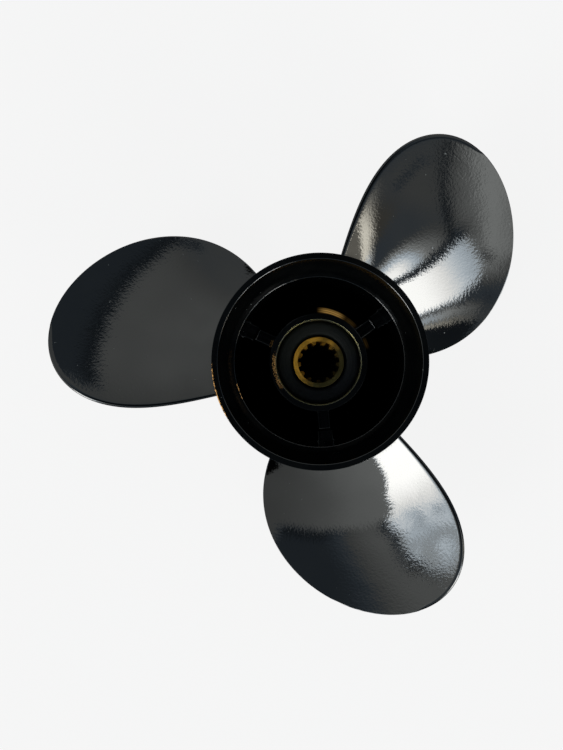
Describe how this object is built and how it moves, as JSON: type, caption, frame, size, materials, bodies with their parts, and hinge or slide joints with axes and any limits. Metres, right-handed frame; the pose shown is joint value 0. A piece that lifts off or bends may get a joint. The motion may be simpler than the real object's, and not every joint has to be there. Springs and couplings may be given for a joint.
{
  "type": "boat propeller",
  "caption": "Right-hand outboard-motor propeller with broad swept blades, through-hub exhaust, flared aft ring and a rubber slip hub with a splined brass sleeve.",
  "frame": {"origin": "on the shaft axis, in the plane of the barrel's front rim", "axes": "+Z along the shaft axis, aft, towards the flared exhaust ring; +X and +Y across the shaft, with one spline groove at +Y and the first blade centred 41 degrees from +X at its root"},
  "size_m": [0.2602, 0.2666, 0.118],
  "materials": {
    "gloss_black_paint": "gloss black paint on cast aluminium",
    "black_rubber": "matte moulded rubber",
    "bare_brass": "machined, slightly dulled brass"
  },
  "bodies": {
    "slip_hub": {"spline_sleeve": "bare_brass", "cushion_bush": "black_rubber"},
    "casting": {"barrel": "gloss_black_paint", "flared_ring": "gloss_black_paint", "inner_hub_tube": "gloss_black_paint", "rib_1": "gloss_black_paint", "rib_2": "gloss_black_paint", "rib_3": "gloss_black_paint", "blade_1": "gloss_black_paint", "blade_2": "gloss_black_paint", "blade_3": "gloss_black_paint"}
  },
  "joints": [
    {"name": "hub_slip", "type": "hinge", "parent": "slip_hub", "child": "casting", "pos_m": [0, 0, 0.04], "axis": [0, 0, 1], "continuous": true}
  ]
}
